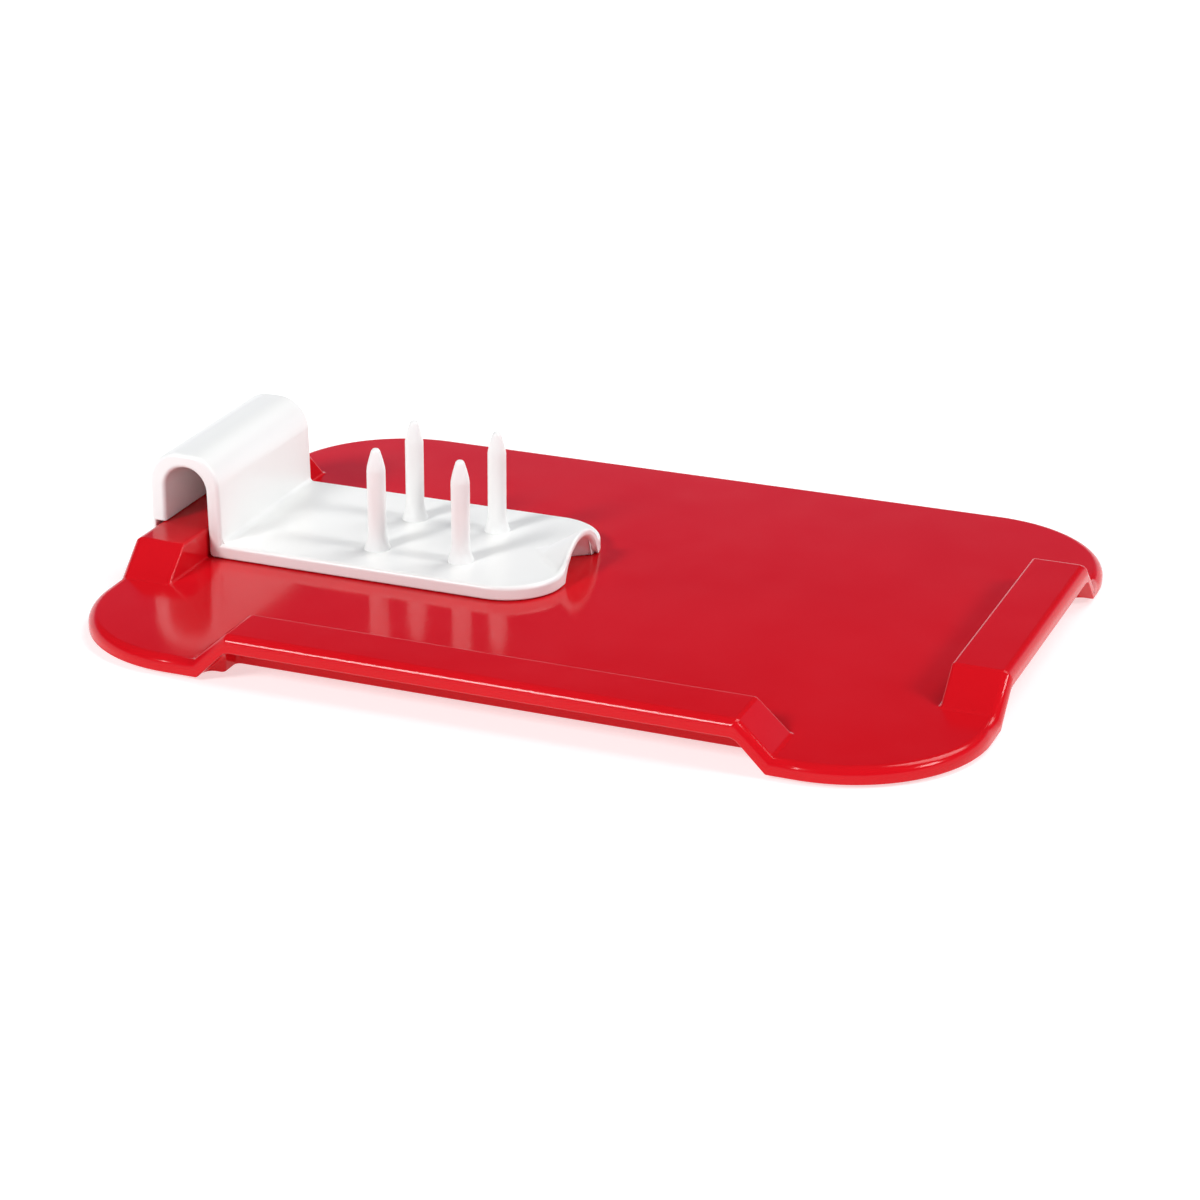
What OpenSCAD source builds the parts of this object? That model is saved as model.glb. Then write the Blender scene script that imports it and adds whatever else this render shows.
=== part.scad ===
// One-handed cutting board with a spiked food holder that clips over the board's left rail.
// Origin: centre of the board in plan, at the level that the feet stand on. +X to the right,
// +Y away from the user, +Z up. All lengths are in millimetres.

/* [Board] */
// Length of the board, left to right
board_l = 305; // [280:1:330]
// Width of the board, near edge to far edge
board_w = 226.6; // [210:0.2:250]
// Radius of the four corner lobes
corner_r = 46.8; // [40:0.2:50]
// Thickness of the board's plate
plate_t = 5.3; // [4:0.1:8]
// Height of the rails above the working surface
rail_h = 10.5; // [8:0.5:16]
// Width of the rails at the two sides
side_rail_w = 19.2; // [16:0.2:24]
// Width of the rail at the near edge
near_rail_w = 20.8; // [16:0.2:24]
// Length of a side rail's flat top
side_flat = 96.2; // [90:0.2:104]
// Distance of the side rails' middle beyond the board's middle
side_offset = 2.1; // [0:0.1:6]
// Length of the near rail's flat top
near_flat = 170.6; // [150:0.2:174]
// Distance of the near rail's middle to the right of the board's middle
near_offset = 1.2; // [0:0.1:3]
// Run of the ramps that end each rail
ramp_run = 11.5; // [8:0.5:12]

/* [Finger recesses under the rails] */
// Height of a recess above the board's underside
recess_h = 10.2; // [7:0.1:12]
// Plastic left between a recess and the rail's inner face
recess_wall = 5.2; // [3:0.1:6]
// Length of the shallow ends of a recess
recess_end_l = 11.5; // [6:0.5:12]
// Depth of those ends, in from the edge
recess_end_d = 6; // [3:0.5:8]

/* [Feet] */
// Diameter of a foot
foot_d = 22; // [14:1:24]
// Height that the feet hold the board above the table
foot_drop = 1.2; // [0.6:0.1:3]
// Depth of the socket that a foot is bonded into
foot_sink = 1.5; // [1:0.1:2.5]
// Distance of the feet from the board's middle, left to right
foot_x = 124; // [116:1:126]
// Distance of the feet from the board's middle, near to far
foot_y = 84; // [76:1:86]

/* [Food holder] */
// Length of the holder along the rail
holder_w = 70.5; // [60:0.5:80]
// Near end of the holder
holder_near = -30; // [-40:1:-22]
// Free end of the holder's plate
holder_tip = -10.4; // [-20:0.2:0]
// Thickness of the holder's plate
holder_t = 5; // [4:0.1:6]
// Radius of the plate's two free corners
holder_corner_r = 20; // [12:1:24]
// Thickness of the hump's walls
wall_t = 5; // [4:0.1:6]
// Height of the hump above the working surface
hump_h = 36; // [28:0.5:44]
// Outer radius at the top of the hump
hump_r = 11; // [8:0.5:12.5]
// Inner radius at the top of the tunnel
tunnel_r = 7.5; // [4:0.5:7.5]
// Thickness of the lip that hooks over the rail's outer face
lip_t = 2.2; // [1.6:0.1:3]
// Depth of that lip below the rail's top
lip_h = 4; // [2:0.5:5]
// Gap between the holder and the board
slide_gap = 0.2; // [0.1:0.05:0.4]
// Gap beside the rail, on each side
side_gap = 0.3; // [0.2:0.05:0.6]

/* [Finger lift at the holder's free end] */
// Radius of the lift's hollow at the free end
lift_r = 15.6; // [10:0.2:16]
// Thickness of the lift's wall
lift_t = 3; // [2:0.1:4]
// Length of the lift's hollow
lift_l = 25.3; // [18:0.1:30]
// Distance of the lift's axis below the working surface
lift_sink = 4; // [2:0.5:5]
// Distance of the lift's axis from the holder's middle
lift_offset = 2.35; // [0:0.05:4]

/* [Spikes] */
// Height of a spike above the holder's plate
spike_h = 35.7; // [25:0.1:45]
// Diameter of a spike's shank
spike_d = 6.4; // [5:0.1:8]
// Diameter of the spike's flared foot
spike_foot_d = 9.2; // [8.2:0.1:12]
// Height of the flared foot
spike_foot_h = 6.5; // [3:0.5:9]
// Diameter at the blunt tip
spike_tip_d = 2.2; // [1:0.1:3]
// Length of the pointed end
spike_point_l = 8.5; // [5:0.5:12]
// Distance between neighbouring spikes
spike_pitch = 31; // [26:0.5:36]
// Middle of the four spikes, left to right
spike_mid_x = -62; // [-70:0.5:-50]
// Middle of the four spikes, near to far
spike_mid_y = 3.5; // [-2:0.5:8]
// Diameter of the stem that is pressed into the plate
stem_d = 4.4; // [3:0.1:5]
// Length of that stem
stem_l = 3.8; // [2.5:0.1:3.9]

/* [Hidden] */
$fn = 96;
reach = 50;                          // how far cutters run past the board

red = [0.78, 0.10, 0.13];
white = [0.93, 0.93, 0.91];
grey = [0.22, 0.22, 0.23];

surface_z = foot_drop + plate_t;     // working surface
rail_top = surface_z + rail_h;
half_l = board_l / 2;
half_w = board_w / 2;
recess_in = 0.4;                     // recess roof stops this far inside the rail's crest
recess_out = 3.2;                    // and its mouth this far beyond the ramp's foot
socket_gap = 0.2;                    // a foot's socket is this much wider than the foot

rail_in_x = -half_l + side_rail_w;   // inner face of the left rail
holder_far = holder_near + holder_w;
holder_mid = holder_near + holder_w / 2;
holder_z = surface_z + slide_gap;    // underside of the plate
holder_top = holder_z + holder_t;
leg_in_x = rail_in_x + side_gap + 0.1;
leg_out_x = leg_in_x + wall_t;
lip_in_x = -half_l - side_gap;
hump_out_x = lip_in_x - lip_t;
hump_top = surface_z + hump_h;
tunnel_left_x = hump_out_x + wall_t + 1;
tunnel_top = hump_top - wall_t + 0.1;
lift_y = holder_mid + lift_offset;
lift_z = surface_z - lift_sink;
lift_slope = lift_r / lift_l;
lift_outer_r = lift_r + lift_t * 0.95;
lift_outer_l = lift_outer_r / lift_slope;
spike_fit = 0.05;                    // radial play of a stem in its hole

// ---- shared shapes ----

// A rectangle with round corners, about the origin
module round_rect(l, w, r) {
    square([l - 2 * r, w], center = true);
    square([l, w - 2 * r], center = true);
    for (sx = [-1, 1], sy = [-1, 1])
        translate([sx * (l / 2 - r), sy * (w / 2 - r)]) circle(r);
}

// An outline drawn in the XZ plane, given depth from y0 to y1
module along_y(y0, y1) {
    translate([0, y1, 0]) rotate([90, 0, 0]) linear_extrude(y1 - y0) children();
}

// A rail on an edge that lies along -Y: flat top, sloping ends, upright faces
module rail(flat, width, edge) {
    along_y(-edge, -edge + width)
        polygon([
            [-flat / 2 - ramp_run, surface_z - 1], [-flat / 2 - ramp_run, surface_z],
            [-flat / 2, rail_top], [flat / 2, rail_top],
            [flat / 2 + ramp_run, surface_z], [flat / 2 + ramp_run, surface_z - 1]
        ]);
}

// The hollow under such a rail: sloping ends in side view, shallow ends in plan
module recess(flat, width, edge) {
    roof = flat / 2 - recess_in;
    mouth = flat / 2 + ramp_run + recess_out;
    slope = (mouth - roof) / recess_h;
    low = mouth + slope * foot_drop;
    depth = width - recess_wall;
    end = mouth - recess_end_l;
    step_y = -edge + recess_end_d;
    intersection() {
        along_y(-edge - reach, -edge + depth)
            polygon([
                [-low, 0], [-roof, foot_drop + recess_h], [roof, foot_drop + recess_h], [low, 0]
            ]);
        linear_extrude(reach)
            polygon([
                [-low, -edge - reach], [-low, -edge], [-(mouth + end) / 2, step_y],
                [-end, step_y + 2], [-end, -edge + depth], [end, -edge + depth],
                [end, step_y + 2], [(mouth + end) / 2, step_y], [low, -edge], [low, -edge - reach]
            ]);
    }
}

// Puts the right and left rails where they belong
module at_sides() {
    for (turn = [0, 180])
        rotate(turn) translate([0, (turn == 0 ? 1 : -1) * side_offset, 0]) rotate(90) children();
}

// Radius of a spike at a height above the plate
function spike_r(h) =
    h < spike_foot_h
        ? spike_d / 2 + (spike_foot_d - spike_d) / 2 * pow(1 - h / spike_foot_h, 2)
        : h < spike_h - spike_point_l
            ? spike_d / 2
            : spike_d / 2 - (spike_d - spike_tip_d) / 2
                * pow((h - spike_h + spike_point_l) / spike_point_l, 2);

// ---- sub-parts ----

module board() {
    color(red)
    difference() {
        union() {
            translate([0, 0, foot_drop]) linear_extrude(plate_t)
                round_rect(board_l, board_w, corner_r);
            translate([near_offset, 0, 0]) rail(near_flat, near_rail_w, half_w);
            at_sides() rail(side_flat, side_rail_w, half_l);
        }
        translate([near_offset, 0, 0]) recess(near_flat, near_rail_w, half_w);
        at_sides() recess(side_flat, side_rail_w, half_l);
        for (sx = [-1, 1], sy = [-1, 1])
            translate([sx * foot_x, sy * foot_y, 0])
                cylinder(h = foot_drop + foot_sink, d = foot_d + socket_gap);
    }
}

module foot(sx, sy) {
    color(grey)
    translate([sx * foot_x, sy * foot_y, 0]) cylinder(h = foot_drop + foot_sink, d = foot_d);
}

// Side view of the hump: an arch over the rail, with a lip down its outer face
module hump_outline() {
    difference() {
        union() {
            translate([hump_out_x, rail_top + slide_gap])
                square([leg_out_x - hump_out_x, hump_top - hump_r - rail_top - slide_gap]);
            translate([hump_out_x + hump_r, hump_top - hump_r])
                square([leg_out_x - hump_out_x - 2 * hump_r, hump_r]);
            for (x = [hump_out_x + hump_r, leg_out_x - hump_r])
                translate([x, hump_top - hump_r]) circle(hump_r);
            translate([hump_out_x, rail_top - lip_h]) square([lip_t, lip_h + 2]);
            translate([leg_in_x, holder_z]) square([leg_out_x - leg_in_x, rail_h + 2]);
        }
        translate([tunnel_left_x, 0]) square([leg_in_x - tunnel_left_x, tunnel_top - tunnel_r]);
        translate([tunnel_left_x + tunnel_r, 0])
            square([leg_in_x - tunnel_left_x - 2 * tunnel_r, tunnel_top]);
        for (x = [tunnel_left_x + tunnel_r, leg_in_x - tunnel_r])
            translate([x, tunnel_top - tunnel_r]) circle(tunnel_r);
    }
}

// Plan of the plate: square against the hump, round at its free corners
module plate_outline() {
    reach_x = holder_tip - holder_corner_r;
    translate([leg_in_x, holder_near]) square([reach_x - leg_in_x, holder_w]);
    translate([reach_x, holder_near + holder_corner_r])
        square([holder_corner_r, holder_w - 2 * holder_corner_r]);
    for (y = [holder_near + holder_corner_r, holder_far - holder_corner_r])
        translate([reach_x, y]) circle(holder_corner_r);
}

// A half cone lying along the plate that opens at the free end
module lift_cone(r, l, past) {
    translate([holder_tip - l, lift_y, lift_z]) rotate([0, 90, 0])
        cylinder(h = l + past, r1 = 0, r2 = r + past * lift_slope);
}

module food_holder() {
    color(white)
    difference() {
        union() {
            along_y(holder_near, holder_far) hump_outline();
            translate([0, 0, holder_z]) linear_extrude(holder_t) plate_outline();
            intersection() {
                lift_cone(lift_outer_r, lift_outer_l, 0);
                translate([-board_l, -board_w, holder_z]) cube([2 * board_l, 2 * board_w, reach]);
            }
        }
        lift_cone(lift_r, lift_l, 2);
        for (sx = [-1, 1], sy = [-1, 1])
            translate([
                spike_mid_x + sx * spike_pitch / 2, spike_mid_y + sy * spike_pitch / 2,
                holder_top - stem_l - spike_fit
            ])
                cylinder(h = stem_l + 1, d = stem_d + 2 * spike_fit);
    }
}

module spike(sx, sy) {
    steps = 8;
    flare = [for (i = [0:steps]) let (h = spike_foot_h * i / steps) [spike_r(h), h]];
    point = [
        for (i = [0:steps])
            let (h = spike_h - spike_point_l + spike_point_l * i / steps) [spike_r(h), h]
    ];
    color(white)
    translate([
        spike_mid_x + sx * spike_pitch / 2, spike_mid_y + sy * spike_pitch / 2, holder_top
    ])
        rotate_extrude()
            polygon(concat(
                [[0, -stem_l], [stem_d / 2, -stem_l], [stem_d / 2, 0]],
                flare, point, [[0, spike_h]]
            ));
}

board();
food_holder();
spike(-1, -1);  // spike_near_left
spike(1, -1);  // spike_near_right
spike(-1, 1);  // spike_far_left
spike(1, 1);  // spike_far_right
foot(-1, -1);  // foot_near_left
foot(1, -1);  // foot_near_right
foot(-1, 1);  // foot_far_left
foot(1, 1);  // foot_far_right
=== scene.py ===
import math

import bmesh
import bpy
from mathutils import Matrix, Vector


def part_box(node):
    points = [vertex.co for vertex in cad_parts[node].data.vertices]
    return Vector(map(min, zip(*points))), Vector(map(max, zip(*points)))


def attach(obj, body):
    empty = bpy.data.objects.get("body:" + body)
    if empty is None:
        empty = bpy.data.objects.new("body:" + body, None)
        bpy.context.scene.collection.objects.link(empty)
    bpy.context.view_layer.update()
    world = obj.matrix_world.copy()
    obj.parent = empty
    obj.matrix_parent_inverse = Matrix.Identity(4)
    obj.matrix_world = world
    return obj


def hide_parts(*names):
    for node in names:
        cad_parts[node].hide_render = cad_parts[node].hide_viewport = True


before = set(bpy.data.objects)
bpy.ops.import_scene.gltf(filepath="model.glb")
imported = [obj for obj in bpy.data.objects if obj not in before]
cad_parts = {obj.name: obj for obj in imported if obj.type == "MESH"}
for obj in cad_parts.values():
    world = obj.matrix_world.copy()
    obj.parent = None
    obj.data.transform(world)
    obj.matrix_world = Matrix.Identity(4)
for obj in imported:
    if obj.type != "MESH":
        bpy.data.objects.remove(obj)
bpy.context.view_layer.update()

mm = 0.001
close = 0.1                      # millimetres: a place nearer than this counts as reached


# Small helpers that every piece uses
def selectOnly(piece):
    bpy.ops.object.select_all(action="DESELECT")
    piece.select_set(True)
    bpy.context.view_layer.objects.active = piece


def addBox(name, low, high):
    bpy.ops.object.select_all(action="DESELECT")
    middle = [(a + b) / 2 * mm for a, b in zip(low, high)]
    size = [(b - a) * mm for a, b in zip(low, high)]
    bpy.ops.mesh.primitive_cube_add(size=1, location=middle, scale=size)
    bpy.ops.object.transform_apply(location=True, rotation=True, scale=True)
    piece = bpy.context.object
    piece.name = name
    return piece


def startEdit(piece, kind):
    selectOnly(piece)
    bpy.ops.object.mode_set(mode="EDIT")
    bpy.ops.mesh.select_mode(type=kind)
    bpy.ops.mesh.select_all(action="DESELECT")
    return bmesh.from_edit_mesh(piece.data)


def endEdit(piece):
    bmesh.update_edit_mesh(piece.data)
    bpy.ops.object.mode_set(mode="OBJECT")


def pickFaces(shape, test):
    for face in shape.faces:
        face.select_set(test(face.calc_center_median() / mm, face.normal))


# The test gets the middle of a sharp edge, in millimetres, and the edge's direction
def bevelEdges(piece, test, radius, segments):
    shape = startEdit(piece, "EDGE")
    for edge in shape.edges:
        start, end = (vert.co / mm for vert in edge.verts)
        sharp = edge.calc_face_angle() > math.radians(20)
        edge.select_set(sharp and test((start + end) / 2, (end - start).normalized()))
    bpy.ops.mesh.bevel(offset=radius * mm, segments=segments, affect="EDGES")
    endEdit(piece)


# Cuts away what lies on the side that the direction points to, and closes the cut
def cutOff(piece, point, direction):
    startEdit(piece, "FACE")
    bpy.ops.mesh.select_all(action="SELECT")
    bpy.ops.mesh.bisect(
        plane_co=Vector(point) * mm, plane_no=direction, use_fill=True, clear_outer=True
    )
    endEdit(piece)


def combine(piece, other, how, solver="EXACT"):
    selectOnly(piece)
    joiner = piece.modifiers.new(how, "BOOLEAN")
    joiner.operation = how
    joiner.solver = solver
    joiner.object = other
    bpy.ops.object.modifier_apply(modifier=joiner.name)
    bpy.data.objects.remove(other)


# Merges the doubles and drops the needless edges that joining and cutting leave behind
def tidyMesh(piece):
    startEdit(piece, "FACE")
    bpy.ops.mesh.select_all(action="SELECT")
    bpy.ops.mesh.remove_doubles(threshold=0.01 * mm)
    bpy.ops.mesh.dissolve_limited(angle_limit=math.radians(0.4))
    endEdit(piece)


# Gives each edge that turns more than the least angle the radius that the rule returns, then
# rounds them all at once
def roundEdges(piece, widest, rule, segments, leastAngle=28):
    shape = startEdit(piece, "EDGE")
    weights = shape.edges.layers.float.get("bevel_weight_edge")
    weights = weights or shape.edges.layers.float.new("bevel_weight_edge")
    for edge in shape.edges:
        edge[weights] = 0
        if len(edge.link_faces) == 2 and edge.calc_face_angle() > math.radians(leastAngle):
            middle = (edge.verts[0].co + edge.verts[1].co) / 2 / mm
            edge[weights] = rule(middle, edge) / widest
    endEdit(piece)
    selectOnly(piece)
    rounding = piece.modifiers.new("rounding", "BEVEL")
    rounding.limit_method = "WEIGHT"
    rounding.width = widest * mm
    rounding.segments = segments
    rounding.miter_outer = "MITER_ARC"
    rounding.use_clamp_overlap = False
    bpy.ops.object.modifier_apply(modifier=rounding.name)


def smoothShading(piece, degrees=40):
    selectOnly(piece)
    bpy.ops.object.shade_smooth_by_angle(angle=math.radians(degrees))
    weighting = piece.modifiers.new("weighting", "WEIGHTED_NORMAL")
    weighting.keep_sharp = True
    weighting.weight = 80
    bpy.ops.object.modifier_apply(modifier=weighting.name)


def finishPiece(piece, body, material, node):
    piece.data.materials.clear()
    piece.data.materials.append(material)
    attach(piece, body)
    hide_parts(node)


# Helpers for the materials, whose patterns all read Object coordinates
def newMaterial(name):
    material = bpy.data.materials.new(name)
    material.use_nodes = True
    nodes = material.node_tree.nodes
    return material, nodes, material.node_tree.links, nodes["Principled BSDF"]


def noiseNode(nodes, links, scale, detail, where):
    noise = nodes.new("ShaderNodeTexNoise")
    noise.inputs["Scale"].default_value = scale
    noise.inputs["Detail"].default_value = detail
    links.new(where, noise.inputs["Vector"])
    return noise.outputs["Fac"]


def rangeNode(nodes, links, value, low, high, fromLow=0.3, fromHigh=0.7):
    span = nodes.new("ShaderNodeMapRange")
    span.inputs["From Min"].default_value = fromLow
    span.inputs["From Max"].default_value = fromHigh
    span.inputs["To Min"].default_value = low
    span.inputs["To Max"].default_value = high
    links.new(value, span.inputs["Value"])
    return span.outputs["Result"]


def bumpNode(nodes, links, height, distance, strength, before=None):
    bump = nodes.new("ShaderNodeBump")
    bump.inputs["Distance"].default_value = distance
    bump.inputs["Strength"].default_value = strength
    links.new(height, bump.inputs["Height"])
    if before:
        links.new(before, bump.inputs["Normal"])
    return bump.outputs["Normal"]


def mixColours(nodes, links, share, first, second):
    mix = nodes.new("ShaderNodeMix")
    mix.data_type = "RGBA"
    mix.inputs["A"].default_value = (*first, 1)
    mix.inputs["B"].default_value = (*second, 1)
    links.new(share, mix.inputs["Factor"])
    return mix.outputs["Result"]


# Scales are in noise features per metre, depths in metres
redPlasticSettings = {
    "colour": (0.61, 0.006, 0.012),
    "deepColour": (0.58, 0.004, 0.009),
    "cloudScale": 14,            # slow change between the two colours
    "roughness": (0.11, 0.15),
    "smearScale": 55,
    "gloss": 0.19,
    "swellScale": 60,            # slow waviness of the moulded face
    "swellDepth": 0.00004,
    "grainScale": 1400,
    "grainDepth": 0.00001,
}


def makeRedPlastic(look):
    material, nodes, links, shader = newMaterial("redPlastic")
    where = nodes.new("ShaderNodeTexCoord").outputs["Object"]
    clouds = noiseNode(nodes, links, look["cloudScale"], 3, where)
    clouds = rangeNode(nodes, links, clouds, 0, 1)
    colour = mixColours(nodes, links, clouds, look["deepColour"], look["colour"])
    links.new(colour, shader.inputs["Base Color"])
    smears = noiseNode(nodes, links, look["smearScale"], 5, where)
    links.new(rangeNode(nodes, links, smears, *look["roughness"]), shader.inputs["Roughness"])
    swell = noiseNode(nodes, links, look["swellScale"], 1, where)
    grain = noiseNode(nodes, links, look["grainScale"], 2, where)
    slow = bumpNode(nodes, links, swell, look["swellDepth"], 0.5)
    links.new(bumpNode(nodes, links, grain, look["grainDepth"], 0.3, slow), shader.inputs["Normal"])
    shader.inputs["Specular IOR Level"].default_value = look["gloss"]
    return material


whitePlasticSettings = {
    "colour": (0.86, 0.87, 0.85),
    "warmColour": (0.86, 0.86, 0.84),
    "cloudScale": 16,
    "roughness": (0.285, 0.33),
    "smearScale": 40,
    "swellScale": 90,
    "swellDepth": 0.00001,
}


def makeWhitePlastic(look):
    material, nodes, links, shader = newMaterial("whitePlastic")
    where = nodes.new("ShaderNodeTexCoord").outputs["Object"]
    clouds = noiseNode(nodes, links, look["cloudScale"], 1, where)
    clouds = rangeNode(nodes, links, clouds, 0, 1, 0.2, 0.8)
    colour = mixColours(nodes, links, clouds, look["warmColour"], look["colour"])
    links.new(colour, shader.inputs["Base Color"])
    smears = noiseNode(nodes, links, look["smearScale"], 2, where)
    links.new(rangeNode(nodes, links, smears, *look["roughness"], 0.1, 0.9), shader.inputs["Roughness"])
    swell = noiseNode(nodes, links, look["swellScale"], 1, where)
    links.new(bumpNode(nodes, links, swell, look["swellDepth"], 0.1), shader.inputs["Normal"])
    return material


footRubberSettings = {
    "colour": (0.045, 0.045, 0.048),
    "dustColour": (0.085, 0.083, 0.080),
    "dustScale": 260,
    "roughness": (0.62, 0.82),
    "grainScale": 2600,
    "grainDepth": 0.00008,
}


def makeFootRubber(look):
    material, nodes, links, shader = newMaterial("footRubber")
    where = nodes.new("ShaderNodeTexCoord").outputs["Object"]
    dust = noiseNode(nodes, links, look["dustScale"], 5, where)
    dustShare = rangeNode(nodes, links, dust, 0, 1, 0.45, 0.8)
    colour = mixColours(nodes, links, dustShare, look["colour"], look["dustColour"])
    links.new(colour, shader.inputs["Base Color"])
    links.new(rangeNode(nodes, links, dust, *look["roughness"]), shader.inputs["Roughness"])
    grain = noiseNode(nodes, links, look["grainScale"], 2, where)
    links.new(bumpNode(nodes, links, grain, look["grainDepth"], 0.5), shader.inputs["Normal"])
    return material


redPlastic = makeRedPlastic(redPlasticSettings)
whitePlastic = makeWhitePlastic(whitePlasticSettings)
footRubber = makeFootRubber(footRubberSettings)
print("materials ready")


# All sizes of the pieces are in millimetres, and heights are above the table unless noted
boardSettings = {
    "underside": 1.2,
    "surface": 6.5,              # the working surface
    "railTop": 17.0,
    "cornerRadius": 46.8,
    "sideRailWidth": 19.2,
    "nearRailWidth": 20.8,
    "sideFlat": 96.2,            # length of a side rail's flat top
    "nearFlat": 170.6,
    "sideMiddle": 2.1,           # the side rails sit this far beyond the board's middle
    "nearMiddle": 1.2,           # and the near rail this far to its right
    "rampRun": 11.5,             # length of a ramp at the end of a rail
    "recessHeight": 10.2,
    "recessWall": 5.2,           # plastic between a recess and the rail's inner face
    "recessEnd": (11.5, 6.0),    # length and depth of a recess's shallow ends
    "recessIn": 0.4,             # a recess's roof is this much shorter than the flat top, at each end
    "recessOut": 3.2,            # and its mouth reaches this far past the ramp's foot
    "recessRadius": 1.6,
    "cutOut": 8.0,               # how far the recess's cutter reaches past the rail's face,
    "cutBelow": 2.0,             # below the underside
    "cutEnds": 3.0,              # and past its own ends
    "socketAway": (124.0, 84.0),  # a foot's socket, from the board's middle
    "socketRadius": 11.1,
    "socketDepth": 1.5,
    "socketSides": 64,
    "topRadius": 3.3,            # outer top edge
    "innerRadius": 1.1,          # rail's inner top edge and its ramps' sides
    "crestRadius": 0.9,          # where a ramp meets the rail's flat top
    "creaseRadius": 0.9,         # inner corner at a rail's foot
    "lowRadius": 0.6,            # outer bottom edge and the edges of the finger recesses
    "cornerSteps": 40,           # faces around each kind of rounding
    "topSteps": 8,
    "recessSteps": 5,
    "creaseSteps": 4,
    "lowSteps": 3,
}


# A rail along the near edge: a box whose top is pulled in at both ends. Its ramps go on down
# into the board, so that their rounded edges run into the board's own
def makeRail(sizes, flat, width, edge):
    slope = sizes["rampRun"] / (sizes["railTop"] - sizes["surface"])
    foot = flat / 2 + slope * (sizes["railTop"] - sizes["underside"])
    rail = addBox("rail", (-foot, -edge, sizes["underside"]), (foot, -edge + width, sizes["railTop"]))
    shape = startEdit(rail, "FACE")
    pickFaces(shape, lambda centre, normal: normal.z > 0.9)
    bpy.ops.transform.resize(value=(flat / 2 / foot, 1, 1))
    endEdit(rail)

    def radiusOf(p, sharpEdge):
        outside, inside = p.y < -edge + close, p.y > -edge + width - close
        if p.z < sizes["underside"] + close:
            return 0
        if outside:
            return sizes["topRadius"]
        return sizes["innerRadius"] if inside else sizes["crestRadius"]

    roundEdges(rail, sizes["topRadius"], radiusOf, sizes["topSteps"])
    return rail


# The hollow under such a rail, as a solid to cut with
def makeRecess(sizes, flat, width, edge):
    top = sizes["underside"] + sizes["recessHeight"]
    low = sizes["underside"] - sizes["cutBelow"]
    roof = flat / 2 - sizes["recessIn"]
    mouth = flat / 2 + sizes["rampRun"] + sizes["recessOut"]
    inner = -edge + width - sizes["recessWall"]
    endLength, endDepth = sizes["recessEnd"]
    outer, endsAt = -edge - sizes["cutOut"], mouth + sizes["cutEnds"]
    hollow = addBox("recess", (endLength - mouth, outer, low), (mouth - endLength, inner, top))
    shallow = addBox("shallow", (-endsAt, outer, low), (endsAt, -edge + endDepth + 1, top))
    for side in (-1, 1):
        cutOff(shallow, (side * mouth, -edge, 0), (side * endDepth, endLength / 2, 0))
    combine(hollow, shallow, "UNION")
    for side in (-1, 1):
        cutOff(hollow, (side * roof, 0, top), (side * sizes["recessHeight"], 0, mouth - roof))
    tidyMesh(hollow)
    bevelEdges(
        hollow, lambda p, along: p.y > outer + 1 and p.z > low + close,
        sizes["recessRadius"], sizes["recessSteps"],
    )
    return hollow


# Turns a shape made at the near edge to the right or left edge, or slides it along
def moveShape(piece, side, x, y):
    turn = Matrix.Rotation(math.radians(90) * side, 4, "Z")
    piece.matrix_world = Matrix.Translation((x * mm, y * mm, 0)) @ turn
    selectOnly(piece)
    bpy.ops.object.transform_apply(location=True, rotation=True, scale=True)


def makeBoard(sizes):
    low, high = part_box("board")
    halfLength = (high[0] - low[0]) / 2 / mm
    halfWidth = (high[1] - low[1]) / 2 / mm
    board = addBox(
        "cuttingBoard",
        (-halfLength, -halfWidth, sizes["underside"]),
        (halfLength, halfWidth, sizes["surface"]),
    )
    bevelEdges(board, lambda p, along: abs(along.z) > 0.9, sizes["cornerRadius"], sizes["cornerSteps"])

    def topRadius(p, edge):
        return sizes["topRadius"] if p.z > sizes["surface"] - close else 0

    roundEdges(board, sizes["topRadius"], topRadius, sizes["topSteps"])

    edges = (
        (0, sizes["nearFlat"], sizes["nearRailWidth"], halfWidth, sizes["nearMiddle"], 0),
        (1, sizes["sideFlat"], sizes["sideRailWidth"], halfLength, 0, sizes["sideMiddle"]),
        (-1, sizes["sideFlat"], sizes["sideRailWidth"], halfLength, 0, sizes["sideMiddle"]),
    )
    for side, flat, width, edge, x, y in edges:
        rail = makeRail(sizes, flat, width, edge)
        moveShape(rail, side, x, y)
        combine(board, rail, "UNION", "MANIFOLD")
    tidyMesh(board)

    def creaseRadius(p, edge):
        level = all(abs(vert.co.z / mm - sizes["surface"]) < close / 10 for vert in edge.verts)
        return sizes["creaseRadius"] if level and edge.calc_face_angle_signed() < 0 else 0

    roundEdges(board, sizes["creaseRadius"], creaseRadius, sizes["creaseSteps"])

    for side, flat, width, edge, x, y in edges:
        hollow = makeRecess(sizes, flat, width, edge)
        moveShape(hollow, side, x, y)
        combine(board, hollow, "DIFFERENCE", "MANIFOLD")
    awayX, awayY = sizes["socketAway"]
    for x in (-awayX, awayX):
        for y in (-awayY, awayY):
            bpy.ops.object.select_all(action="DESELECT")
            bpy.ops.mesh.primitive_cylinder_add(
                vertices=sizes["socketSides"],
                radius=sizes["socketRadius"] * mm,
                depth=2 * sizes["socketDepth"] * mm,
                location=(x * mm, y * mm, sizes["underside"] * mm),
            )
            bpy.ops.object.transform_apply(location=True, rotation=True, scale=True)
            combine(board, bpy.context.object, "DIFFERENCE", "MANIFOLD")
    tidyMesh(board)

    def lowRadius(p, edge):
        atSocket = math.hypot(abs(p.x) - awayX, abs(p.y) - awayY) < sizes["socketRadius"] + 1
        return 0 if atSocket or edge.calc_face_angle_signed() < 0 else sizes["lowRadius"]

    roundEdges(board, sizes["lowRadius"], lowRadius, sizes["lowSteps"], 35)
    smoothShading(board)
    finishPiece(board, "board_body", redPlastic, "board")
    return board


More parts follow.
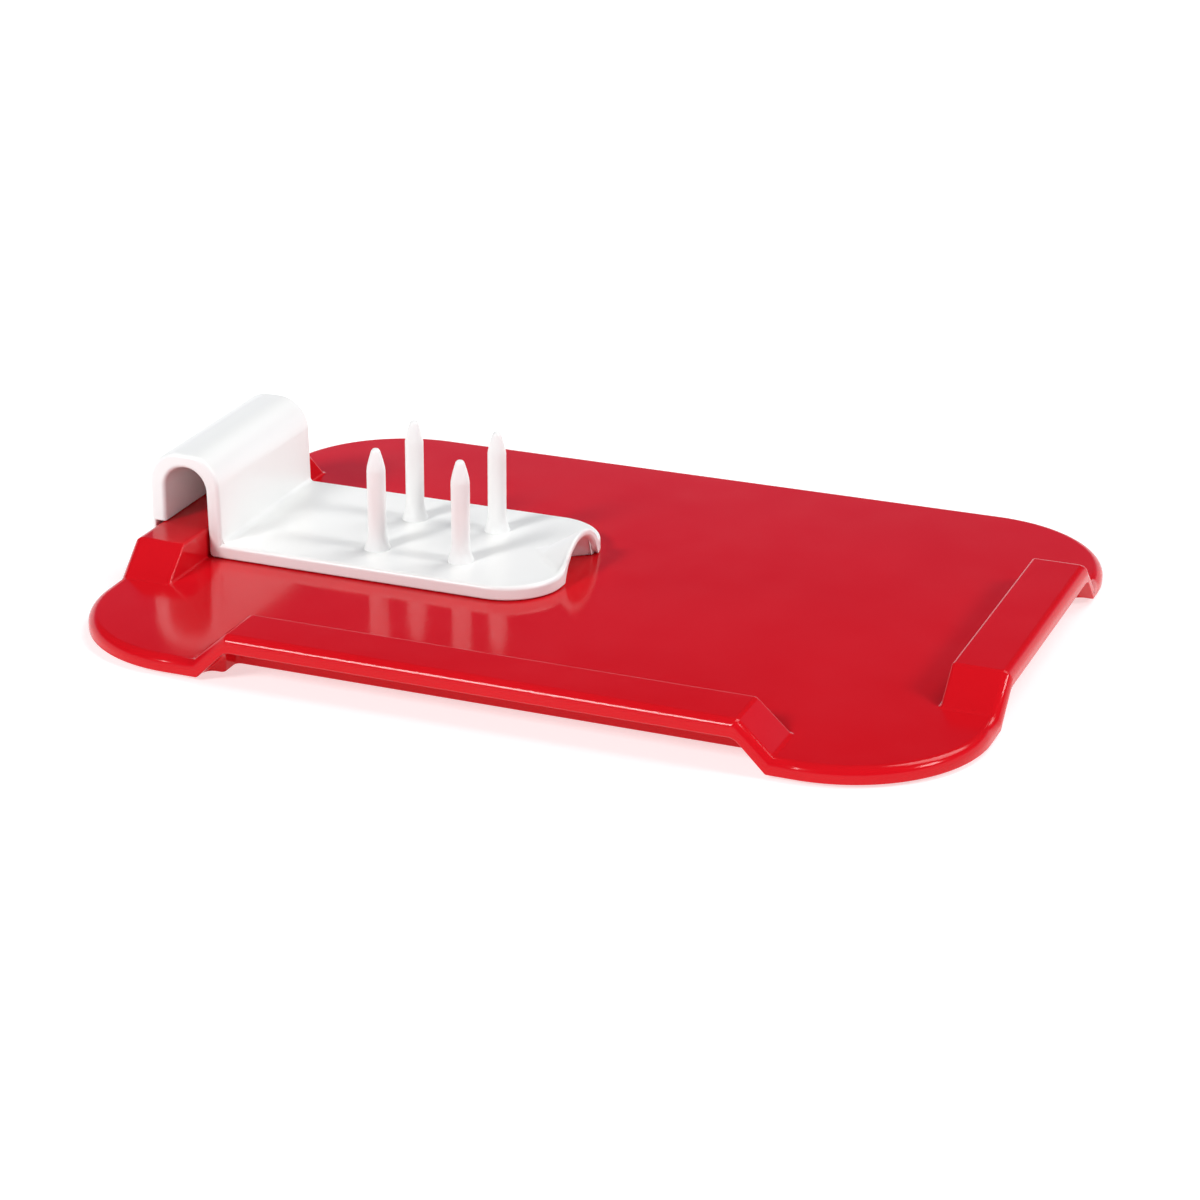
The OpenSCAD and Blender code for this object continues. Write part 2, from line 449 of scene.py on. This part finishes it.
board = makeBoard(boardSettings)
print("board ready:", len(board.data.polygons), "faces")


holderSettings = {
    "near": -30.0,
    "far": 40.5,
    "tip": -10.4,                # free end of the plate
    "underside": 6.7,
    "plateTop": 11.7,
    "cornerRadius": 20.0,        # the plate's free corners, in plan
    "humpOut": -155.0,           # outer face of the hump
    "legOut": -127.9,            # its face towards the plate
    "legIn": -132.9,             # and its face towards the rail
    "lipIn": -152.8,             # the lip's face towards the rail
    "humpTop": 42.5,
    "humpRadius": 11.0,
    "tunnelLeft": -149.0,
    "tunnelTop": 37.6,
    "tunnelRadius": 7.8,
    "legLean": 0.8,              # the leg's top leans this far towards the rail
    "restsAt": 17.2,             # underside of the hump, on the rail
    "lipLow": 13.0,
    "liftMiddle": 7.6,           # the finger lift is a cone whose axis lies along the plate
    "liftAxis": 2.5,             # height of that axis
    "liftRadius": 15.6,
    "liftLength": 25.3,
    "liftWall": 2.85,            # plastic over the lift's hollow
    "liftBlend": 6.0,            # radius of the hollow where the plate rises onto the lift
    "liftSoft": 1.6,             # how softly the lift's ridge starts
    "edgeRadius": 1.5,
    "lowRadius": 0.8,
    "lipRadius": 0.6,
    "heelRadius": 2.3,
    "creaseRadius": 1.8,
    "humpSteps": 28,             # faces around each kind of rounding
    "tunnelSteps": 24,
    "roundSteps": 5,
    "edgeLines": 7,              # the plate's grid lines: over its rounded edge,
    "coarseLines": 6,            # from the leg to near the finger lift,
    "fineLines": 50,             # over the lift,
    "crossLines": 90,            # and across the plate
    "liftMargin": 8.0,           # the close lines start this far before the lift
    "intoLeg": 3.0,              # how far the plate reaches into the leg
    "cutPast": 5.0,              # how far a cutting shape reaches past what it cuts
}


# An arch over the rail, cut from one block
def makeHump(sizes):
    near, far = sizes["near"], sizes["far"]
    out, legIn, legOut = sizes["humpOut"], sizes["legIn"], sizes["legOut"]
    humpTop, tunnelTop = sizes["humpTop"], sizes["tunnelTop"]
    hump = addBox("foodHolder", (out, near, sizes["underside"]), (legOut, far, humpTop))
    bevelEdges(
        hump, lambda p, along: p.z > humpTop - close and abs(along.y) > 0.9,
        sizes["humpRadius"], sizes["humpSteps"],
    )
    start, end = near - sizes["cutPast"], far + sizes["cutPast"]
    tunnel = addBox("tunnel", (sizes["tunnelLeft"], start, 0), (legIn, end, tunnelTop))
    bevelEdges(
        tunnel, lambda p, along: p.z > tunnelTop - close and abs(along.y) > 0.9,
        sizes["tunnelRadius"], sizes["tunnelSteps"],
    )
    combine(hump, tunnel, "DIFFERENCE")
    railSpace = addBox("railSpace", (sizes["lipIn"], start, 0), (legIn, end, sizes["restsAt"]))
    combine(hump, railSpace, "DIFFERENCE")
    # What hangs below the rail's top on its outer side is cut short, and stays as the lip
    below = addBox("below", (out - sizes["cutPast"], start, 0), (legIn - 1, end, sizes["lipLow"]))
    combine(hump, below, "DIFFERENCE")
    tidyMesh(hump)

    def radiusOf(p, edge):
        if edge.calc_face_angle_signed() < 0:
            return 0
        if p.z < sizes["underside"] + close:
            return sizes["heelRadius"] if p.x < sizes["legIn"] + close else sizes["lowRadius"]
        if p.x < sizes["legIn"] + close and p.z < sizes["restsAt"] + close:
            return sizes["lipRadius"]
        return sizes["edgeRadius"]

    roundEdges(hump, sizes["heelRadius"], radiusOf, sizes["roundSteps"], 35)
    for vert in hump.data.vertices:
        share = (vert.co.x / mm - sizes["tunnelLeft"]) / (sizes["legIn"] - sizes["tunnelLeft"])
        rise = (vert.co.z / mm - sizes["plateTop"]) / (sizes["humpTop"] - sizes["plateTop"])
        vert.co.x -= sizes["legLean"] * min(1, max(0, share)) * max(0, rise) * mm
    return hump


# How far from the plate's straight side a line lies at x, when it runs this far inside the
# outline and follows the rounded corner
def sideLine(sizes, x, inside):
    past = max(0, x - sizes["tip"] + sizes["cornerRadius"])
    left = sizes["cornerRadius"] - inside
    return sizes["cornerRadius"] - math.sqrt(max(0, left ** 2 - past ** 2))


# How far a place on the plate is from the nearest of its free edges
def distanceInside(sizes, x, y):
    past = x - sizes["tip"] + sizes["cornerRadius"]
    beside = max(sizes["near"] + sizes["cornerRadius"] - y, y - sizes["far"] + sizes["cornerRadius"])
    if past > 0 and beside > 0:
        return max(0, sizes["cornerRadius"] - math.hypot(past, beside))
    return max(0, min(sizes["tip"] - x, sizes["cornerRadius"] - beside))


# How far a rounded edge has dropped at this distance inside it
def edgeDrop(radius, inside):
    left = max(0, radius - inside)
    return radius - math.sqrt(max(0, radius ** 2 - left ** 2))


# Height of the plate's top: level, and rising in a blend onto the cone over the finger lift
def topHeight(sizes, x, y):
    level = sizes["plateTop"] - sizes["liftAxis"]
    narrowing = sizes["liftRadius"] / sizes["liftLength"] * (sizes["tip"] - x)
    cone = sizes["liftRadius"] + sizes["liftWall"] - narrowing
    over, soft, blend = cone - level, sizes["liftSoft"], sizes["liftBlend"]
    if over < -soft:
        return sizes["plateTop"]
    if over < soft:
        over = (over + soft) ** 2 / (4 * soft)
    cone = level + over
    beside = abs(y - sizes["liftMiddle"])
    blendEnd = math.sqrt((cone + blend) ** 2 - (level + blend) ** 2)
    if beside > blendEnd:
        return sizes["plateTop"]
    if beside > blendEnd * cone / (cone + blend):
        return sizes["plateTop"] + blend - math.sqrt(max(0, blend ** 2 - (blendEnd - beside) ** 2))
    return sizes["liftAxis"] + math.sqrt(cone ** 2 - beside ** 2)


# Height of the plate's underside: level, with the hollow of the finger lift
def lowHeight(sizes, x, y):
    cone = max(0, sizes["liftRadius"] * (1 - (sizes["tip"] - x) / sizes["liftLength"]))
    beside = min(cone, abs(y - sizes["liftMiddle"]))
    return max(sizes["underside"], sizes["liftAxis"] + math.sqrt(cone ** 2 - beside ** 2))


# The plate is a grid, with its lines close together at its edges and over its finger lift.
# Each column is a share of the way across, and how far inside the outline it runs
def makePlate(sizes):
    radius, edgeLines, crossLines = sizes["edgeRadius"], sizes["edgeLines"], sizes["crossLines"]
    coarse, fine = sizes["coarseLines"], sizes["fineLines"]
    edgeSteps = [radius * (1 - math.cos(math.radians(90 * k / edgeLines))) for k in range(edgeLines + 1)]
    start = sizes["legOut"] - sizes["intoLeg"]
    fineStart = sizes["tip"] - sizes["liftLength"] - sizes["liftMargin"]
    fineEnd = sizes["tip"] - radius
    stationsX = [start + (fineStart - start) * k / coarse for k in range(coarse)]
    stationsX += [fineStart + (fineEnd - fineStart) * k / fine for k in range(fine)]
    stationsX += [sizes["tip"] - step for step in reversed(edgeSteps)]
    columns = [(0, step) for step in edgeSteps]
    columns += [(k / crossLines, radius) for k in range(1, crossLines)]
    columns += [(1, step) for step in reversed(edgeSteps)]

    bpy.ops.object.select_all(action="DESELECT")
    bpy.ops.mesh.primitive_grid_add(
        x_subdivisions=len(stationsX) - 1, y_subdivisions=len(columns) - 1, size=1, location=(0, 0, 0)
    )
    plate = bpy.context.object
    startEdit(plate, "FACE")
    bpy.ops.mesh.select_all(action="SELECT")
    bpy.ops.mesh.extrude_region_move(TRANSFORM_OT_translate={"value": (0, 0, -1)})
    endEdit(plate)
    for vert in plate.data.vertices:
        x = stationsX[round((vert.co.x + 0.5) * (len(stationsX) - 1))]
        share, step = columns[round((vert.co.y + 0.5) * (len(columns) - 1))]
        low, high = sizes["near"] + sideLine(sizes, x, step), sizes["far"] - sideLine(sizes, x, step)
        y = low + (high - low) * share
        inside = distanceInside(sizes, x, y)
        if vert.co.z < -0.5:
            z = lowHeight(sizes, x, y) + edgeDrop(sizes["lowRadius"], inside)
        else:
            z = topHeight(sizes, x, y) - edgeDrop(radius, inside)
        vert.co = Vector((x, y, z)) * mm
    startEdit(plate, "FACE")
    bpy.ops.mesh.select_all(action="SELECT")
    bpy.ops.mesh.remove_doubles(threshold=0.002 * mm)
    bpy.ops.mesh.normals_make_consistent(inside=False)
    endEdit(plate)
    return plate


# The hump and the plate in one, with a soft inner corner where the leg meets the plate
def makeHolder(sizes):
    holder = makeHump(sizes)
    combine(holder, makePlate(sizes), "UNION", "MANIFOLD")

    def creaseRadius(p, edge):
        corner = abs(p.x - sizes["legOut"]) < 2 * close and abs(p.z - sizes["plateTop"]) < close / 2
        return sizes["creaseRadius"] if corner and edge.calc_face_angle_signed() < 0 else 0

    roundEdges(holder, sizes["creaseRadius"], creaseRadius, sizes["roundSteps"], 35)
    smoothShading(holder)
    finishPiece(holder, "holder_body", whitePlastic, "food_holder")
    return holder


holder = makeHolder(holderSettings)
print("food holder ready:", len(holder.data.polygons), "faces")


spikeSettings = {
    "foot": holderSettings["plateTop"],
    "sunk": 0.3,                 # how far a spike goes into the plate
    "height": 35.7,              # above the plate
    "shank": 6.4,
    "flare": 9.2,
    "flareHeight": 6.5,
    "tip": 2.5,
    "tipRadius": 0.55,           # rounding of the blunt tip
    "pointLength": 7.8,
    "pointCurve": 1.35,          # above 1, the point swells outwards
    "middle": (-62.0, 3.5),
    "pitch": 31.0,
    "sides": 48,
    "flareSteps": 10,
    "shankHeights": [12, 18, 24],
    "pointSteps": 12,
    "tipSteps": [0.45, 0.18, 0.04, 0],
}


# A spike's radius at this height above its foot: flare, shank, point and blunt tip
def spikeRadius(sizes, h):
    shank, flare, tip = sizes["shank"] / 2, sizes["flare"] / 2, sizes["tip"] / 2
    if h < sizes["flareHeight"]:
        return shank + (flare - shank) * (1 - h / sizes["flareHeight"]) ** 2
    start = sizes["height"] - sizes["pointLength"]
    if h < start:
        return shank
    share = (h - start) / sizes["pointLength"]
    radius = shank - (shank - tip) * share ** sizes["pointCurve"]
    left, blunt = sizes["height"] - h, sizes["tipRadius"]
    if left > blunt:
        return radius
    return tip - blunt + math.sqrt(max(0, blunt ** 2 - (blunt - left) ** 2))


# A cylinder for the foot, then its top is pulled up and narrowed step by step
def makeSpike(sizes):
    bpy.ops.object.select_all(action="DESELECT")
    x, y = sizes["middle"][0] - sizes["pitch"] / 2, sizes["middle"][1] - sizes["pitch"] / 2
    bpy.ops.mesh.primitive_cylinder_add(
        vertices=sizes["sides"], radius=spikeRadius(sizes, 0) * mm, depth=sizes["sunk"] * mm,
        location=(x * mm, y * mm, (sizes["foot"] - sizes["sunk"] / 2) * mm),
    )
    bpy.ops.object.transform_apply(location=True, rotation=True, scale=True)
    spike = bpy.context.object
    shape = startEdit(spike, "FACE")
    pickFaces(shape, lambda centre, normal: normal.z > 0.9)
    top, flareSteps, pointSteps = sizes["height"], sizes["flareSteps"], sizes["pointSteps"]
    heights = [sizes["flareHeight"] * (k + 1) / flareSteps for k in range(flareSteps)]
    heights += sizes["shankHeights"]
    heights += [top - sizes["pointLength"] * (1 - k / pointSteps) for k in range(pointSteps)]
    heights += [top - left for left in sizes["tipSteps"]]
    lastHeight, lastRadius = 0, spikeRadius(sizes, 0)
    for h in heights:
        radius = spikeRadius(sizes, h)
        bpy.ops.mesh.extrude_region_move(TRANSFORM_OT_translate={"value": (0, 0, (h - lastHeight) * mm)})
        bpy.ops.transform.resize(value=(radius / lastRadius, radius / lastRadius, 1))
        lastHeight, lastRadius = h, radius
    endEdit(spike)
    smoothShading(spike, 50)
    return spike


def placeSpikes(sizes):
    first = makeSpike(sizes)
    spikes = []
    for depth, stepY in (("near", 0), ("far", 1)):
        for side, stepX in (("left", 0), ("right", 1)):
            spike = first.copy()
            spike.data = first.data.copy()
            spike.name = "spike" + depth.capitalize() + side.capitalize()
            bpy.context.collection.objects.link(spike)
            spike.location = (stepX * sizes["pitch"] * mm, stepY * sizes["pitch"] * mm, 0)
            selectOnly(spike)
            bpy.ops.object.transform_apply(location=True, rotation=True, scale=True)
            finishPiece(spike, "holder_body", whitePlastic, f"spike_{depth}_{side}")
            spikes.append(spike)
    bpy.data.objects.remove(first)
    return spikes


spikes = placeSpikes(spikeSettings)
print("spikes ready:", len(spikes))


footSettings = {
    "away": boardSettings["socketAway"],
    "radius": 11.0,
    "height": 2.7,
    "edgeRadius": 0.5,
    "edgeSteps": 4,
    "sides": 64,
    "rings": 2,                  # ring-shaped grooves in the face that it stands on
    "ringWidth": 1.6,
    "grooveWidth": 0.7,
    "grooveDepth": 0.35,
}


# A disc with a rounded edge. Each groove has walls at 45 degrees
def makeFoot(sizes):
    x, y = sizes["away"]
    bpy.ops.object.select_all(action="DESELECT")
    bpy.ops.mesh.primitive_cylinder_add(
        vertices=sizes["sides"], radius=sizes["radius"] * mm, depth=sizes["height"] * mm,
        location=(x * mm, y * mm, sizes["height"] / 2 * mm),
    )
    bpy.ops.object.transform_apply(location=True, rotation=True, scale=True)
    foot = bpy.context.object
    bevelEdges(foot, lambda p, along: p.z < close, sizes["edgeRadius"], sizes["edgeSteps"])
    middle = Vector((x, y)) * mm
    depth = sizes["grooveDepth"] * mm
    for ring in range(sizes["rings"]):
        shape = startEdit(foot, "FACE")
        lowest = [face for face in shape.faces if face.calc_center_median().z < close * mm]
        centreFace = min(lowest, key=lambda face: (face.calc_center_median().xy - middle).length)
        centreFace.select_set(True)
        bpy.ops.mesh.inset(thickness=sizes["ringWidth"] * mm)
        bpy.ops.mesh.inset(thickness=depth, depth=-depth)
        bpy.ops.mesh.inset(thickness=sizes["grooveWidth"] * mm)
        bpy.ops.mesh.inset(thickness=depth, depth=depth)
        endEdit(foot)
    smoothShading(foot, 35)
    return foot


def placeFeet(sizes):
    first = makeFoot(sizes)
    feet = []
    for depth, stepY in (("near", -2), ("far", 0)):
        for side, stepX in (("left", -2), ("right", 0)):
            foot = first.copy()
            foot.data = first.data.copy()
            foot.name = "foot" + depth.capitalize() + side.capitalize()
            bpy.context.collection.objects.link(foot)
            foot.location = (stepX * sizes["away"][0] * mm, stepY * sizes["away"][1] * mm, 0)
            selectOnly(foot)
            bpy.ops.object.transform_apply(location=True, rotation=True, scale=True)
            finishPiece(foot, "board_body", footRubber, f"foot_{depth}_{side}")
            feet.append(foot)
    bpy.data.objects.remove(first)
    return feet


feet = placeFeet(footSettings)
print("feet ready:", len(feet))


stageSettings = {
    "floorSize": 12.0,
    "floorColour": (0.60, 0.60, 0.60),
    "floorGlow": 0.60,           # a lit table, so that shadows stay faint
    "floorRoughness": 0.9,
    "floorGloss": 0.1,
    "skyStrength": 2.0,
    "skyStops": [                # height above the horizon and colour
        (0.00, (0.60, 0.60, 0.62)),
        (0.23, (0.54, 0.55, 0.60)),
        (0.32, (0.08, 0.095, 0.17)),
        (0.41, (0.015, 0.015, 0.02)),
        (1.00, (0.06, 0.06, 0.06)),
    ],
}


def makeFloor(stage):
    bpy.ops.object.select_all(action="DESELECT")
    bpy.ops.mesh.primitive_plane_add(size=stage["floorSize"], location=(0, 0, 0))
    floor = bpy.context.object
    floor.name = "floor"
    material, nodes, links, shader = newMaterial("floorPaint")
    shader.inputs["Base Color"].default_value = (*stage["floorColour"], 1)
    shader.inputs["Roughness"].default_value = stage["floorRoughness"]
    shader.inputs["Specular IOR Level"].default_value = stage["floorGloss"]
    shader.inputs["Emission Color"].default_value = (1, 1, 1, 1)
    shader.inputs["Emission Strength"].default_value = stage["floorGlow"]
    floor.data.materials.append(material)


# Bright near the horizon and dark above, so that the level surfaces keep their deep colour
def makeSky(stage):
    world = bpy.data.worlds.new("studio")
    bpy.context.scene.world = world
    world.use_nodes = True
    nodes, links = world.node_tree.nodes, world.node_tree.links
    split = nodes.new("ShaderNodeSeparateXYZ")
    links.new(nodes.new("ShaderNodeTexCoord").outputs["Generated"], split.inputs["Vector"])
    ramp = nodes.new("ShaderNodeValToRGB")
    stops = ramp.color_ramp.elements
    while len(stops) < len(stage["skyStops"]):
        stops.new(0.5)
    for stop, (height, colour) in zip(stops, stage["skyStops"]):
        stop.position, stop.color = height, (*colour, 1)
    links.new(split.outputs["Z"], ramp.inputs["Fac"])
    links.new(ramp.outputs["Color"], nodes["Background"].inputs["Color"])
    nodes["Background"].inputs["Strength"].default_value = stage["skyStrength"]


lightSettings = [
    # name, direction to it, width in degrees, strength
    ("keyLight", (-0.36, -0.72, 0.59), 15, 1.85),
    ("rightLight", (0.78, 0.04, 0.60), 16, 1.25),
    ("backLight", (0.30, 0.50, 0.81), 30, 1.3),
]


# Wide suns, so that the lights' reflections and the shadows are soft
def makeLights(rows):
    for name, towards, width, strength in rows:
        light = bpy.data.lights.new(name, "SUN")
        light.angle = math.radians(width)
        light.energy = strength
        lamp = bpy.data.objects.new(name, light)
        bpy.context.collection.objects.link(lamp)
        lamp.location = Vector(towards)
        lamp.rotation_euler = Vector(towards).to_track_quat("Z", "Y").to_euler()


cameraSettings = {
    "place": (0.3790, -0.9673, 0.4210),
    "lens": 100.07,
    "turn": 23.706,
    "down": 22.727,
    "roll": -0.494,
    "shift": (0.1016, 0.0325),
    "seesBetween": (0.01, 30),   # nearest and farthest distance
}


def makeCamera(view):
    camera = bpy.data.objects.new("camera", bpy.data.cameras.new("camera"))
    bpy.context.collection.objects.link(camera)
    camera.data.lens = view["lens"]
    camera.data.shift_x, camera.data.shift_y = view["shift"]
    camera.data.clip_start, camera.data.clip_end = view["seesBetween"]
    camera.matrix_world = (
        Matrix.Translation(view["place"])
        @ Matrix.Rotation(math.radians(view["turn"]), 4, "Z")
        @ Matrix.Rotation(math.radians(90 - view["down"]), 4, "X")
        @ Matrix.Rotation(math.radians(view["roll"]), 4, "Z")
    )
    bpy.context.scene.camera = camera


makeFloor(stageSettings)
makeSky(stageSettings)
makeLights(lightSettings)
makeCamera(cameraSettings)
bpy.context.scene.view_settings.view_transform = "Standard"
print("stage ready")
